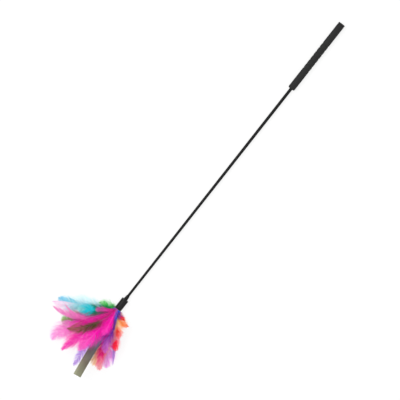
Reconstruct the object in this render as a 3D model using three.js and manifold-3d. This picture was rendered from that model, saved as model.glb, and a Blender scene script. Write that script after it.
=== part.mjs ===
// Feather wand toy: a tapered wand whose ferrule holds a bunch of dyed feathers and a strip of foil.
// Millimetres, +Z up. The wand lies level on a flat surface, along X.
// The origin is the centre of the handle's flat end, and the feathers point towards -X.

import * as THREE from 'three';
import { mergeVertices } from 'three/addons/utils/BufferGeometryUtils.js';
import Module from 'manifold-3d';

const wasm = await Module();
wasm.setup();

// The wand, from the handle's flat end to the mouth of the ferrule
const wandLength = 495;
const rodButtRadius = 2.3;
const rodTipRadius = 1.75;
const rodChamfer = 0.4;

// The handle: a sleeve over the rod and a cap pressed into its end
const gripLength = 110;
const gripRadius = 5;
const gripNoseLength = 2.5;
const gripNoseDrop = 1.3;
const gripRingCount = 7;
const gripRingPitch = 7;
const gripRingWidth = 2;
const gripRingDepth = 0.4;
const gripRingSlope = 0.5;
const capThickness = 2.4;
const capRounding = 0.8;
const capSpigotLength = 6;
const capSpigotRadius = 3.6;

// The collar between the rod and the ferrule
const neckLength = 6;
const neckRootRadius = 2.8;
const neckTipRadius = 2.25;
const neckSpigotRadius = 2.55;

// The ferrule
const ferruleLength = 17;
const ferruleBoreDepth = 13;
const ferruleWall = 0.9;
const ferruleChamfer = 0.35;
const mouthChamfer = 0.3;

// The quills in the ferrule, in rows that lie one above another
const quillRadius = 0.38;
const quillGap = 0.28;
const quillDepth = 9;
const threadRadius = 0.18;
const threadTurns = 4;
const threadPitch = 0.82;
const threadFromMouth = 1.2;
const threadClearance = 0.1;
const boreClearance = 0.24;
const socketClearance = 0.07;
const plugFromMouth = 5.2;

// The foil strip, gathered where it goes into the ferrule
const stripWidth = 10.9;
const stripGatheredWidth = 4.6;
const stripThickness = 0.25;
const stripReach = 105.4;
const stripFan = -6.6;
const stripBow = 1.5;
const stripGatherStart = 2;
const stripGatherEnd = 26;

// The bunch: how the layers of feathers lift away from the wand's axis
const liftStart = 6;
const droopRadius = 150;
const floorGap = 0.3;
const shaftRadius = 0.3;
const vaneThickness = 0.42;
const bareQuill = 8;
const vaneOpening = 0.8;
const vaneCup = 0.1;
const vaneThinning = 0.5;
const vaneFlatness = 1.45;
const shaftTaper = 0.75;
const ridgeNarrowness = 2;
const quillLead = 9;
const shaftPull = 0.62;
const neighbourRise = 0.05;
const neighbourRoll = 8;

// Fit and fineness
const seatGap = 0.3;
const slideGap = 0.15;
const cutBeyond = 1;
const roundSides = 24;
const cornerSteps = 3;
const quillSides = 8;
const featherSteps = 20;
const stripSteps = 22;
const threadStepsPerTurn = 18;
const threadSides = 5;

// Every feather has its own name, colour, reach from the mouth, fan angle away from the wand's line
// (in degrees, positive towards +Y), half width of the vane, sideways bow of its shaft, roll of its
// vane (in degrees) and tip, from 0.35 for a round tip to 1 for a sharp one. Some are widest nearer to
// the tip, which a larger opening gives, or have one side of the vane narrower: the -Y side comes first.
const rows = [
  {
    rise: null,
    feathers: [
      { name: 'turquoise', colour: 0x69e1fa, reach: 83, fan: 63, half: 6, bow: -6, roll: -5, tip: 0.4 },
      {
        name: 'light_green', colour: 0xaad76e, reach: 79, fan: 40.5, half: 10, bow: -1, roll: -5, tip: 0.4,
        opening: 1.5,
      },
      { name: 'rose', colour: 0xfc91e8, reach: 82, fan: -26.5, half: 10, bow: 2, roll: -8, tip: 0.4 },
    ],
  },
  {
    rise: 0.05,
    feathers: [
      { name: 'pale_pink', colour: 0xffdef6, reach: 90, fan: 59, half: 8, bow: 2, roll: 2, tip: 0.8 },
      {
        name: 'magenta_sickle', colour: 0xfe96e4, reach: 100, fan: 27, half: 12, bow: 18, roll: -4, tip: 0.6,
        opening: 2,
      },
      { name: 'lavender', colour: 0xcda0f5, reach: 98, fan: 0, half: 5, bow: 5, roll: -1, tip: 0.7 },
      { name: 'orange', colour: 0xffb987, reach: 84, fan: -14.5, half: 8, bow: 1, roll: -3, tip: 0.5 },
      { name: 'purple_spike', colour: 0xaa64d2, reach: 77, fan: -33, half: 3.5, bow: -1, roll: -1, tip: 1 },
    ],
  },
  {
    rise: 0.11,
    feathers: [
      {
        name: 'cyan_down', colour: 0xcdf8fc, reach: 63, fan: 66, half: 8, bow: 2, roll: 2, tip: 0.5,
        opening: 1.5,
      },
      { name: 'pink_lance', colour: 0xf673cd, reach: 89, fan: 55, half: 4, bow: -30, roll: -3, tip: 1 },
      { name: 'fuchsia', colour: 0xff78dc, reach: 90, fan: 29.5, half: 11, bow: 2, roll: 2, tip: 0.7 },
      {
        name: 'magenta_point', colour: 0xff3cd0, reach: 95, fan: 16, half: 14, bow: 1, roll: -4, tip: 1,
        opening: 1.1,
      },
      { name: 'crimson', colour: 0xde056e, reach: 87, fan: -21.5, half: 6, bow: 9, roll: 2, tip: 0.5 },
      { name: 'red', colour: 0xfc203e, reach: 57, fan: -35, half: 7, bow: -2, roll: 1, tip: 0.5 },
    ],
  },
  {
    rise: 0.42,
    feathers: [
      {
        name: 'green', colour: 0x46dc64, reach: 27, fan: 72, half: 7, bow: 2, roll: 4, tip: 0.5,
        sides: [0.6, 1.15],
      },
      { name: 'teal', colour: 0x00d7e4, reach: 56, fan: 53, half: 9, bow: 1, roll: -4, tip: 0.5 },
      { name: 'pink_spike', colour: 0xf66ec8, reach: 72, fan: 58, half: 3.5, bow: -34, roll: 5, tip: 1 },
      {
        name: 'violet', colour: 0x9b32c8, reach: 62, fan: -22, half: 8, bow: 1, roll: -3, tip: 0.5,
        opening: 1.4,
      },
      {
        name: 'scarlet', colour: 0xf83e2d, reach: 41, fan: -40.5, half: 6, bow: 2, roll: 2, tip: 0.5,
        opening: 1.5, sides: [0.6, 1],
      },
      {
        name: 'orange_spike', colour: 0xffa055, reach: 28, fan: -71, half: 7, bow: 9, roll: -1, tip: 0.8,
        opening: 1.2,
      },
    ],
  },
  {
    rise: 0.65,
    feathers: [
      {
        name: 'pink_crown', colour: 0xdc5ab2, reach: 30, fan: 50, half: 7, bow: 2, roll: 2, tip: 0.3,
        opening: 1.6,
      },
      { name: 'magenta_upper', colour: 0xf832be, reach: 68, fan: 32, half: 8.5, bow: 3, roll: -5, tip: 0.5 },
      {
        name: 'magenta_body', colour: 0xff0fbc, reach: 77, fan: 6, half: 15, bow: 0, roll: -4, tip: 0.65,
        opening: 1, sides: [0.75, 1],
      },
      { name: 'red_crown', colour: 0xf01e2d, reach: 18, fan: -70, half: 6, bow: 1, roll: 6, tip: 0.6 },
    ],
  },
  {
    rise: 0.88,
    feathers: [
      { name: 'olive', colour: 0x58541c, reach: 73, fan: 32, half: 5.5, bow: -16, roll: 4, tip: 0.6 },
      {
        name: 'magenta_crown', colour: 0xff16bc, reach: 40, fan: -9, half: 8, bow: 0, roll: -4, tip: 0.6,
        opening: 1.2, sides: [0.8, 1],
      },
      {
        name: 'blue_violet', colour: 0x6932be, reach: 38, fan: -23.5, half: 3.2, bow: -5, roll: -2, tip: 0.8,
        sides: [1, 0.4],
      },
    ],
  },
];
const stripRise = 0.36;
const rowsBelowStrip = 3;

// What follows from the driving dimensions
const quillPitch = 2 * quillRadius + quillGap;
const slitHalf = stripThickness / 2 + quillGap;
const slotY = (count, index) => ((count - 1) / 2 - index) * quillPitch;
const rowZ = (row) =>
  row < rowsBelowStrip
    ? -(slitHalf + quillRadius + (rowsBelowStrip - 1 - row) * quillPitch)
    : slitHalf + quillRadius + (row - rowsBelowStrip) * quillPitch;
const bundleRadius = quillRadius + Math.max(
  ...rows.map((row, i) => Math.hypot(rowZ(i), slotY(row.feathers.length, 0))),
);
const bindingRadius = bundleRadius + threadClearance + threadRadius;
const boreRadius = bindingRadius + threadRadius + boreClearance;
const ferruleRadius = boreRadius + ferruleWall;
const restHeight = Math.max(gripRadius, ferruleRadius);
const quillTurns = Array.from({ length: quillSides }, (_, side) => (side / quillSides) * 2 * Math.PI);

// The materials
const plastic = (color, roughness) => new THREE.MeshStandardMaterial({ color, roughness, metalness: 0 });
const rodBlack = plastic(0x2b2b29, 0.4);
const ferruleBlack = plastic(0x343431, 0.45);
const gripBlack = plastic(0x242424, 0.8);
const glueAmber = plastic(0xd8c58a, 0.35);
const threadWhite = plastic(0xe8e4d8, 0.9);
const foilGrey = new THREE.MeshStandardMaterial({ color: 0x77756a, roughness: 0.35, metalness: 0.8 });

function weld(geometry) {
  const bare = geometry.index ? geometry.clone() : mergeVertices(geometry);
  bare.deleteAttribute('normal');
  bare.deleteAttribute('uv');
  const welded = mergeVertices(bare, 1e-5);
  const kept = [];
  const index = welded.index.array;
  for (let i = 0; i < index.length; i += 3) {
    const [a, b, c] = [index[i], index[i + 1], index[i + 2]];
    if (a !== b && b !== c && c !== a) kept.push(a, b, c);
  }
  welded.setIndex(kept);
  welded.computeVertexNormals();
  return welded;
}

function solidOf(geometry) {
  const welded = weld(geometry);
  const vertProperties = new Float32Array(welded.attributes.position.array);
  const triVerts = new Uint32Array(welded.index.array);
  return new wasm.Manifold(new wasm.Mesh({ numProp: 3, vertProperties, triVerts }));
}

function geometryOf(solid) {
  const mesh = solid.getMesh();
  const geometry = new THREE.BufferGeometry();
  geometry.setAttribute('position', new THREE.BufferAttribute(new Float32Array(mesh.vertProperties), 3));
  geometry.setIndex([...mesh.triVerts]);
  return weld(geometry);
}

// A body turned about the X axis. The profile lists [x, radius] from low x to high x along the outside,
// and back along the bore where there is one.
function turned(profile, sides = roundSides) {
  const points = profile.map(([x, radius]) => new THREE.Vector2(radius, x));
  const onAxis = profile[0][1] === 0;
  if (!onAxis) points.push(points[0].clone());
  const geometry = new THREE.LatheGeometry(points, sides);
  geometry.rotateZ(-Math.PI / 2);
  return weld(geometry);
}

// A closed body through rings of points, with a flat cap at each end.
function loft(rings) {
  const sides = rings[0].length;
  const positions = rings.flat().flatMap((point) => [point.x, point.y, point.z]);
  const index = [];
  for (let ring = 0; ring < rings.length - 1; ring += 1) {
    for (let side = 0; side < sides; side += 1) {
      const next = (side + 1) % sides;
      const [a, b] = [ring * sides + side, ring * sides + next];
      const [c, d] = [a + sides, b + sides];
      index.push(a, b, d, a, d, c);
    }
  }
  const last = (rings.length - 1) * sides;
  for (let side = 1; side < sides - 1; side += 1) {
    index.push(0, side + 1, side);
    index.push(last, last + side, last + side + 1);
  }
  const geometry = new THREE.BufferGeometry();
  geometry.setAttribute('position', new THREE.Float32BufferAttribute(positions, 3));
  geometry.setIndex(index);
  geometry.computeVertexNormals();
  return geometry;
}

// The points of a profile round a corner's centre, from one angle to another (in degrees).
function corner(x, radius, alongX, alongRadius, from, to) {
  const points = [];
  for (let step = 0; step <= cornerSteps; step += 1) {
    const angle = THREE.MathUtils.degToRad(THREE.MathUtils.lerp(from, to, step / cornerSteps));
    points.push([x + alongX * Math.cos(angle), radius + alongRadius * Math.sin(angle)]);
  }
  return points;
}

function piece(name, geometry, material) {
  const mesh = new THREE.Mesh(geometry, material);
  mesh.name = name;
  return mesh;
}

// The rod tapers evenly from the handle to its tip in the ferrule.
const mouthX = -wandLength;
const ferruleBackX = mouthX + ferruleLength;
const rodTipX = mouthX + ferruleBoreDepth + seatGap;
const rodButtX = -capThickness - capSpigotLength - seatGap;
const rodRadiusAt = (x) => THREE.MathUtils.mapLinear(x, rodTipX, rodButtX, rodTipRadius, rodButtRadius);

function wandRod() {
  return turned([
    [rodTipX, 0],
    [rodTipX, rodTipRadius - rodChamfer],
    [rodTipX + rodChamfer, rodRadiusAt(rodTipX + rodChamfer)],
    [rodButtX - rodChamfer, rodRadiusAt(rodButtX - rodChamfer)],
    [rodButtX, rodButtRadius - rodChamfer],
    [rodButtX, 0],
  ]);
}

// The sleeve is rounded down to the rod in front, has shallow rings, and takes the cap's spigot behind.
function gripSleeve() {
  const backX = -capThickness - seatGap;
  const frontX = backX - gripLength;
  const rodBore = rodButtRadius + seatGap;
  const spigotBore = capSpigotRadius + seatGap;
  const pocketX = -capThickness - capSpigotLength - 2 * seatGap;
  const outside = corner(
    frontX + gripNoseLength,
    gripRadius - gripNoseDrop,
    gripNoseLength,
    gripNoseDrop,
    180,
    90,
  );
  const ringsX = (frontX + backX) / 2 - ((gripRingCount - 1) / 2) * gripRingPitch;
  for (let ring = 0; ring < gripRingCount; ring += 1) {
    const x = ringsX + ring * gripRingPitch;
    outside.push([x - gripRingWidth / 2, gripRadius]);
    outside.push([x - gripRingWidth / 2 + gripRingSlope, gripRadius - gripRingDepth]);
    outside.push([x + gripRingWidth / 2 - gripRingSlope, gripRadius - gripRingDepth]);
    outside.push([x + gripRingWidth / 2, gripRadius]);
  }
  return turned([
    ...outside,
    [backX, gripRadius],
    [backX, spigotBore],
    [pocketX, spigotBore],
    [pocketX, rodBore],
    [frontX, rodBore],
  ]);
}

function buttCap() {
  return turned([
    [-capThickness - capSpigotLength, 0],
    [-capThickness - capSpigotLength, capSpigotRadius],
    [-capThickness, capSpigotRadius],
    [-capThickness, gripRadius],
    ...corner(-capRounding, gripRadius - capRounding, capRounding, capRounding, 90, 0),
    [0, 0],
  ]);
}

// The collar seats on the ferrule's back, with a spigot in its hole round the rod.
function neckCollar() {
  const shoulderX = ferruleBackX + seatGap;
  const endX = shoulderX + neckLength;
  const spigotX = mouthX + ferruleBoreDepth + seatGap;
  const bore = rodRadiusAt(endX) + slideGap;
  return turned([
    [spigotX, neckSpigotRadius],
    [shoulderX, neckSpigotRadius],
    [shoulderX, neckRootRadius],
    [endX, neckTipRadius],
    [endX, bore],
    [spigotX, bore],
  ]);
}

function ferrule() {
  const bottomX = mouthX + ferruleBoreDepth;
  const backHole = neckSpigotRadius + slideGap;
  return turned([
    [mouthX, boreRadius + mouthChamfer],
    [mouthX, ferruleRadius - ferruleChamfer],
    [mouthX + ferruleChamfer, ferruleRadius],
    [ferruleBackX - ferruleChamfer, ferruleRadius],
    [ferruleBackX, ferruleRadius - ferruleChamfer],
    [ferruleBackX, backHole],
    [bottomX, backHole],
    [bottomX, boreRadius],
    [mouthX + mouthChamfer, boreRadius],
  ]);
}

// How far a layer of rise 1 has lifted at a distance from the mouth.
function lift(away) {
  const started = (away * away) / (away + liftStart);
  return started - (started * started) / (2 * droopRadius);
}

// The layers of the bunch. A layer keeps the same height all round at the same distance from the mouth,
// so feathers of one layer lie beside each other and those of the next pass over them.
function layerHeight(z, rise, x, y, slot) {
  return z + rise * lift(Math.max(0, Math.hypot(x, y) - Math.abs(slot)));
}

// Neighbours in a layer lie like shingles, each with its +Y edge over the next one.
const rollOf = (spec) => THREE.MathUtils.degToRad(neighbourRoll + spec.roll);

// A feather of the lowest layer comes down until its vane almost meets the surface under the toy.
function lowestRise(spec) {
  const edge = spec.half * (Math.abs(Math.tan(rollOf(spec))) + vaneCup) + vaneThickness / 2;
  return (floorGap + edge - restHeight - rowZ(0)) / lift(spec.reach);
}

// A shaft leaves the mouth straight along the wand and then turns to its fan angle, seen from above.
function shaftCurve(slot, reach, fan, bow) {
  const angle = THREE.MathUtils.degToRad(fan);
  const tip = new THREE.Vector2(-reach * Math.cos(angle), reach * Math.sin(angle));
  const side = new THREE.Vector2(Math.sin(angle), Math.cos(angle));
  return new THREE.CubicBezierCurve(
    new THREE.Vector2(0, slot),
    new THREE.Vector2(-quillLead, slot),
    tip.clone().multiplyScalar(shaftPull).addScaledVector(side, bow),
    tip,
  );
}

// Half the width of a vane along its shaft, from 0 at the quill to 1 at the tip, as a share of its widest.
function vaneShare(along, reach, tip, opening) {
  const start = bareQuill / reach;
  if (along <= start) return 0;
  const on = (along - start) / (1 - start);
  const peak = opening / (opening + tip);
  const widest = peak ** opening * (1 - peak) ** tip;
  return (on ** opening * (1 - on) ** tip) / widest;
}

// A vane's section is flat, with the shaft as a ridge along its middle, drawn down towards both edges.
function featherRing(place, side, halves, thick, shaft, cup, roll) {
  return quillTurns.map((turn) => {
    const across = -Math.cos(turn);
    const up = THREE.MathUtils.clamp(Math.sin(turn) * vaneFlatness, -1, 1);
    const half = halves[across < 0 ? 0 : 1];
    const width = across * half;
    const ridge = shaft * (1 - ridgeNarrowness * Math.abs(across));
    const height = up * Math.max(thick / 2, ridge);
    return new THREE.Vector3(
      place.x + side.x * width,
      place.y + side.y * width,
      place.z + height - cup * half * across * across + Math.tan(roll) * width,
    );
  });
}

function quillRing(x, y, z) {
  return quillTurns.map((turn) => new THREE.Vector3(
    x,
    y - quillRadius * Math.cos(turn),
    z + quillRadius * Math.sin(turn),
  ));
}

function feather(spec, slot, z, rise) {
  const curve = shaftCurve(slot, spec.reach, spec.fan, spec.bow);
  const rings = [quillRing(quillDepth, slot, z), quillRing(0, slot, z)];
  for (let step = 1; step <= featherSteps; step += 1) {
    const along = step / featherSteps;
    const at = curve.getPointAt(along);
    const run = curve.getTangentAt(along);
    const share = vaneShare(along, spec.reach, spec.tip, spec.opening ?? vaneOpening);
    const taper = 1 - shaftTaper * along;
    const halves = (spec.sides ?? [1, 1]).map((part) => Math.max(
      share * spec.half * part,
      quillRadius * taper,
    ));
    rings.push(featherRing(
      new THREE.Vector3(at.x, at.y, layerHeight(z, rise, at.x, at.y, slot)),
      new THREE.Vector2(run.y, -run.x),
      halves,
      vaneThickness * (1 - vaneThinning * along),
      shaftRadius * taper,
      vaneCup * share,
      rollOf(spec),
    ));
  }
  return loft(rings);
}

function foilStrip() {
  const curve = shaftCurve(0, stripReach, stripFan, stripBow);
  const rings = [];
  for (let step = -1; step <= stripSteps; step += 1) {
    const along = Math.max(0, step / stripSteps);
    const inside = step < 0 ? quillDepth : 0;
    const at = curve.getPointAt(along);
    const run = curve.getTangentAt(along);
    const spread = THREE.MathUtils.smoothstep(along * stripReach, stripGatherStart, stripGatherEnd);
    const half = THREE.MathUtils.lerp(stripGatheredWidth, stripWidth, spread) / 2;
    const height = layerHeight(0, stripRise, at.x, at.y, 0);
    const corners = [[-1, -1], [-1, 1], [1, 1], [1, -1]];
    rings.push(corners.map(([across, up]) => new THREE.Vector3(
      at.x + inside + run.y * half * across,
      at.y - run.x * half * across,
      height + (up * stripThickness) / 2,
    )));
  }
  return loft(rings);
}

// Hot-melt glue fills the back of the bore round the quills and the strip.
function gluePlug() {
  const backX = ferruleBoreDepth - seatGap;
  const radius = boreRadius - slideGap;
  let plug = solidOf(turned([
    [plugFromMouth, 0],
    [plugFromMouth, radius],
    [backX, radius],
    [backX, 0],
  ]));
  const depth = quillDepth + seatGap - plugFromMouth + cutBeyond;
  const middle = plugFromMouth - cutBeyond + depth / 2;
  const radiusOut = (quillRadius + socketClearance) / Math.cos(Math.PI / quillSides);
  rows.forEach((row, i) => row.feathers.forEach((_, j) => {
    const socket = new THREE.CylinderGeometry(radiusOut, radiusOut, depth, quillSides);
    socket.rotateZ(-Math.PI / 2);
    socket.rotateX(Math.PI / quillSides);
    socket.translate(middle, slotY(row.feathers.length, j), rowZ(i));
    plug = plug.subtract(solidOf(socket));
  }));
  const slit = new THREE.BoxGeometry(
    depth,
    stripGatheredWidth + 2 * socketClearance,
    stripThickness + 2 * socketClearance,
  );
  slit.translate(middle, 0, 0);
  return geometryOf(plug.subtract(solidOf(slit)));
}

// Thread wound round the quills in front of the glue.
class Winding extends THREE.Curve {
  getPoint(along, target = new THREE.Vector3()) {
    const turn = along * threadTurns * 2 * Math.PI;
    return target.set(
      threadFromMouth + along * threadTurns * threadPitch,
      bindingRadius * Math.cos(turn),
      bindingRadius * Math.sin(turn),
    );
  }
}

function quillBinding() {
  const section = new THREE.Shape();
  for (let side = 0; side < threadSides; side += 1) {
    const turn = (side / threadSides) * 2 * Math.PI;
    const [x, y] = [threadRadius * Math.cos(turn), threadRadius * Math.sin(turn)];
    if (side === 0) section.moveTo(x, y);
    else section.lineTo(x, y);
  }
  return weld(new THREE.ExtrudeGeometry(section, {
    steps: threadTurns * threadStepsPerTurn,
    extrudePath: new Winding(),
  }));
}

const wand = new THREE.Group();
wand.add(piece('wand_rod', wandRod(), rodBlack));
wand.add(piece('grip_sleeve', gripSleeve(), gripBlack));
wand.add(piece('butt_cap', buttCap(), gripBlack));
wand.add(piece('neck_collar', neckCollar(), rodBlack));
wand.add(piece('ferrule', ferrule(), ferruleBlack));

// Everything in the bunch is placed from the centre of the ferrule's mouth.
const bunch = new THREE.Group();
bunch.position.x = mouthX;
bunch.add(piece('glue_plug', gluePlug(), glueAmber));
bunch.add(piece('quill_binding', quillBinding(), threadWhite));
bunch.add(piece('foil_strip', foilStrip(), foilGrey));
rows.forEach((row, i) => row.feathers.forEach((spec, j) => {
  const rise = row.rise === null ? lowestRise(spec) : row.rise + neighbourRise * j;
  const shape = feather(spec, slotY(row.feathers.length, j), rowZ(i), rise);
  const dye = new THREE.MeshStandardMaterial({ color: spec.colour, roughness: 0.85, metalness: 0 });
  bunch.add(piece(`${spec.name}_feather`, shape, dye));
}));

const toy = new THREE.Group();
toy.add(wand);
toy.add(bunch);

export default toy;
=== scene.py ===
# %% Load the fixed frame
import math
import random

import bpy
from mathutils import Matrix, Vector
from mathutils.geometry import interpolate_bezier


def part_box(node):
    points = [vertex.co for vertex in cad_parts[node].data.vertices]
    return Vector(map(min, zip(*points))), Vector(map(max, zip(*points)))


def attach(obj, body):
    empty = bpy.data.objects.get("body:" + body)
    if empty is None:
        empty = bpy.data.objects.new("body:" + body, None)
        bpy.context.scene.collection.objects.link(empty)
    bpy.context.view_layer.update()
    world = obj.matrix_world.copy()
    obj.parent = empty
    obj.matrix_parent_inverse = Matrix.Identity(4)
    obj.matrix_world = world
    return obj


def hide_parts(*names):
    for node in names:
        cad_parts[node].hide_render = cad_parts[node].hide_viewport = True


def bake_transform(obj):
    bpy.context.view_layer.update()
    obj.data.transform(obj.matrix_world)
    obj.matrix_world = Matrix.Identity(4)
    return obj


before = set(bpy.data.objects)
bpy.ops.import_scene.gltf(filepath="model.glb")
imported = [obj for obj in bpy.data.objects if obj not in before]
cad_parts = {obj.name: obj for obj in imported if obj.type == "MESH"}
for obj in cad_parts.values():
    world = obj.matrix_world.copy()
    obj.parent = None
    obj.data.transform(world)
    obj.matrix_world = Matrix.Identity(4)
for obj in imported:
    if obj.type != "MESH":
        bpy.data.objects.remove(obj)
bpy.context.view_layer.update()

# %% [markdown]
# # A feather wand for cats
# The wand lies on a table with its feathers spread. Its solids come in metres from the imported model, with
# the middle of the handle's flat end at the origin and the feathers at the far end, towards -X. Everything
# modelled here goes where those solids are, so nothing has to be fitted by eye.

MM = 0.001
table_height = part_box("ferrule")[0][2]

# %% [markdown]
# ## The camera
# A long lens far above the table sees the wand almost without perspective, as a catalogue picture does. The
# camera looks straight down and is turned so that the wand runs from the lower left to the upper right.

# %% Put the camera above the wand
SENSOR_WIDTH, LENS = 36, 500
PICTURE_WIDTH = 545.6 * MM
MIDDLE = Vector((-308.6, 3.9, 0)) * MM
WAND_SLOPE = math.radians(51.83)

camera_height = PICTURE_WIDTH * LENS / SENSOR_WIDTH
bpy.ops.object.camera_add(
    location=MIDDLE + Vector((0, 0, camera_height)),
    rotation=(0, 0, -WAND_SLOPE),
)
camera = bpy.context.object
camera.data.lens = LENS
camera.data.clip_end = 50
bpy.context.scene.camera = camera
print("camera", round(camera_height, 2), "m above the wand")

# %% [markdown]
# ## Shader maths in Python
# A material is a graph of nodes, and a formula in it takes many of them. A small class that holds one
# socket and knows plus, minus, times, divided by and power lets a formula be one line of Python. It gives
# numbers only. Colours go through the mix method of the next cell.

# %% A socket that can be calculated with
class Wire:
    """One value in a shader."""

    def __init__(self, finish, socket):
        self.finish, self.socket = finish, socket

    def maths(self, operation, *values):
        return self.finish.node("ShaderNodeMath", {"operation": operation}, dict(enumerate(values)))

    def __add__(self, other):
        return self.maths("ADD", self, other)

    def __mul__(self, other):
        return self.maths("MULTIPLY", self, other)

    def __sub__(self, other):
        return self.maths("SUBTRACT", self, other)

    def __rsub__(self, other):
        return self.maths("SUBTRACT", other, self)

    def __truediv__(self, other):
        return self.maths("DIVIDE", self, other)

    def __pow__(self, other):
        return self.maths("POWER", self, other)

    __radd__, __rmul__ = __add__, __mul__


# %% A finish: one material and its nodes
class Finish:
    """Keywords are sockets of the Principled shader, with _ for each space."""

    def __init__(self, name, **shader):
        self.material = bpy.data.materials.new(name)
        self.material.use_nodes = True
        self.tree = self.material.node_tree
        self.shader = self.tree.nodes["Principled BSDF"]
        for socket, value in shader.items():
            self.set(socket.replace("_", " "), value)

    def set(self, socket, value):
        target = self.shader.inputs[socket]
        if isinstance(value, Wire):
            self.tree.links.new(value.socket, target)
        else:
            target.default_value = value

    def node(self, kind, settings=None, values=None, out=0):
        """Any node: its settings first, then the numbers or wires of its sockets."""
        node = self.tree.nodes.new(kind)
        for name, value in (settings or {}).items():
            if name == "stops":
                ramp = node.color_ramp.elements
                while len(ramp) < len(value):
                    ramp.new(0.5)
                for element, (position, ramp_colour) in zip(ramp, value):
                    element.position, element.color = position, ramp_colour
            else:
                setattr(node, name, value)
        for name, value in (values or {}).items():
            if isinstance(value, Wire):
                self.tree.links.new(value.socket, node.inputs[name])
            else:
                node.inputs[name].default_value = value
        return Wire(self, node.outputs[out])

    def place(self, scale=(1, 1, 1)):
        """Object coordinates in metres, stretched by scale."""
        point = self.node("ShaderNodeTexCoord", out="Object")
        return self.node("ShaderNodeMapping", values={"Vector": point, "Scale": scale})

    def noise(self, size, detail, stretch=(1, 1, 1)):
        """Cloudy noise whose patches are about size metres across."""
        values = {"Vector": self.place(stretch), "Scale": 1 / size, "Detail": detail}
        return self.node("ShaderNodeTexNoise", values=values, out="Fac")

    def value(self, name):
        """A number that the piece carries at its points."""
        return self.node("ShaderNodeAttribute", {"attribute_name": name}, out="Fac")

    def clamp(self, wire, low=0.0, high=1.0):
        return self.node("ShaderNodeClamp", values={"Value": wire, "Min": low, "Max": high})

    def mix(self, share, first, second, blend="MIX"):
        """A colour between two others. 6, 7 and 2 are the Mix node's colour sockets."""
        settings = {"data_type": "RGBA", "blend_type": blend}
        return self.node("ShaderNodeMix", settings, {0: share, 6: first, 7: second}, out=2)

    def bump(self, height, distance, strength=1.0):
        values = {"Height": height, "Distance": distance, "Strength": strength}
        self.set("Normal", self.node("ShaderNodeBump", values=values))

    def blend_shader(self, share, kind, values):
        """Mixes a share of another shader into the Principled one."""
        main = Wire(self, self.shader.outputs[0])
        other = self.node(kind, values=values)
        both = self.node("ShaderNodeMixShader", values={0: share, 1: main, 2: other})
        self.tree.links.new(both.socket, self.tree.nodes["Material Output"].inputs["Surface"])


def colour(red, green, blue):
    """The shader's colour for the 0 to 255 values of a picture."""
    linear = []
    for part in (red, green, blue):
        share = part / 255
        linear.append(share / 12.92 if share <= 0.04045 else ((share + 0.055) / 1.055) ** 2.4)
    return (*linear, 1)


def grey(value):
    return (value, value, value, 1)


# %% [markdown]
# ## Table and light
# A catalogue picture is taken on a white table in soft light from all round, with one large lamp to give
# the plastic its highlight. The table looks white to the camera, and in reflections, because most of what
# these see of it is its own white. The rest is lit, so that the wand still throws a soft shadow. The share
# of its own white grows with the distance, so that a low view has no grey horizon. The sky does the same:
# white to look at, and a little less than that as a light.

# %% Make the table
TABLE_SIZE, PAPER_WHITE, UNDER_WAND = 24, 0.9, 0.1 * MM
NEAR_GLOW, GLOW_START, GLOW_PER_METRE = 0.8, 0.65, 0.25
WHITE_FOR = ("Is Camera Ray", "Is Glossy Ray", "Is Transmission Ray")


def clear_selection():
    if bpy.context.object and bpy.context.object.mode != "OBJECT":
        bpy.ops.object.mode_set(mode="OBJECT")
    bpy.ops.object.select_all(action="DESELECT")


clear_selection()
bpy.ops.mesh.primitive_plane_add(size=TABLE_SIZE, location=(MIDDLE.x, MIDDLE.y, table_height - UNDER_WAND))
table = bpy.context.object
table.name = "table"

paper = Finish("table_white", Base_Color=grey(PAPER_WHITE), Roughness=0.9)
camera_ray, glossy_ray, through_ray = (paper.node("ShaderNodeLightPath", out=kind) for kind in WHITE_FOR)
seen = paper.clamp(camera_ray + glossy_ray + through_ray)
far = paper.node("ShaderNodeVectorMath", {"operation": "LENGTH"}, {0: paper.place()}, out="Value")
glow_share = paper.clamp(far * GLOW_PER_METRE + GLOW_START, NEAR_GLOW, 1)
paper.blend_shader(seen * glow_share, "ShaderNodeEmission", {"Color": grey(1), "Strength": 1.0})
table.data.materials.append(paper.material)
print("table", TABLE_SIZE, "m wide")

# %% Light the table
SKY_LIGHT = 0.85

world = bpy.data.worlds.new("studio")
world.use_nodes = True
bpy.context.scene.world = world
sky = world.node_tree
background = sky.nodes["Background"]
background.inputs["Color"].default_value = grey(1)
path = sky.nodes.new("ShaderNodeLightPath")
seen_rays = path.outputs[WHITE_FOR[0]]
for kind in WHITE_FOR[1:]:
    either = sky.nodes.new("ShaderNodeMath")
    either.operation, either.use_clamp = "ADD", True
    sky.links.new(seen_rays, either.inputs[0])
    sky.links.new(path.outputs[kind], either.inputs[1])
    seen_rays = either.outputs[0]
strength = sky.nodes.new("ShaderNodeMath")
strength.operation = "MULTIPLY_ADD"
sky.links.new(seen_rays, strength.inputs[0])
strength.inputs[1].default_value = 1 - SKY_LIGHT
strength.inputs[2].default_value = SKY_LIGHT
sky.links.new(strength.outputs[0], background.inputs["Strength"])


def lamp(name, place, size, power):
    """A square lamp that points at the middle of the wand."""
    bpy.ops.object.light_add(type="AREA", location=place)
    light = bpy.context.object
    light.name = name
    light.data.size = size
    light.data.energy = power
    light.rotation_euler = (MIDDLE - Vector(place)).to_track_quat("-Z", "Y").to_euler()
    print(name, size, "m wide,", power, "W")


lamp("softbox", (-0.4, 1.1, 1.9), 1.4, 27)
lamp("fill_lamp", (-0.9, -1.2, 1.7), 1.6, 6)

bpy.context.scene.view_settings.view_transform = "Standard"

# %% [markdown]
# ## The turned pieces
# Rod, collar, ferrule, grip and cap are all round bodies about one line. On a lathe the tool follows an
# outline while the piece spins. Here a single point is drawn along the outline by extruding it, and Spin
# carries that line round the wand's axis. A small bevel then softens every edge as moulding does.

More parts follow.
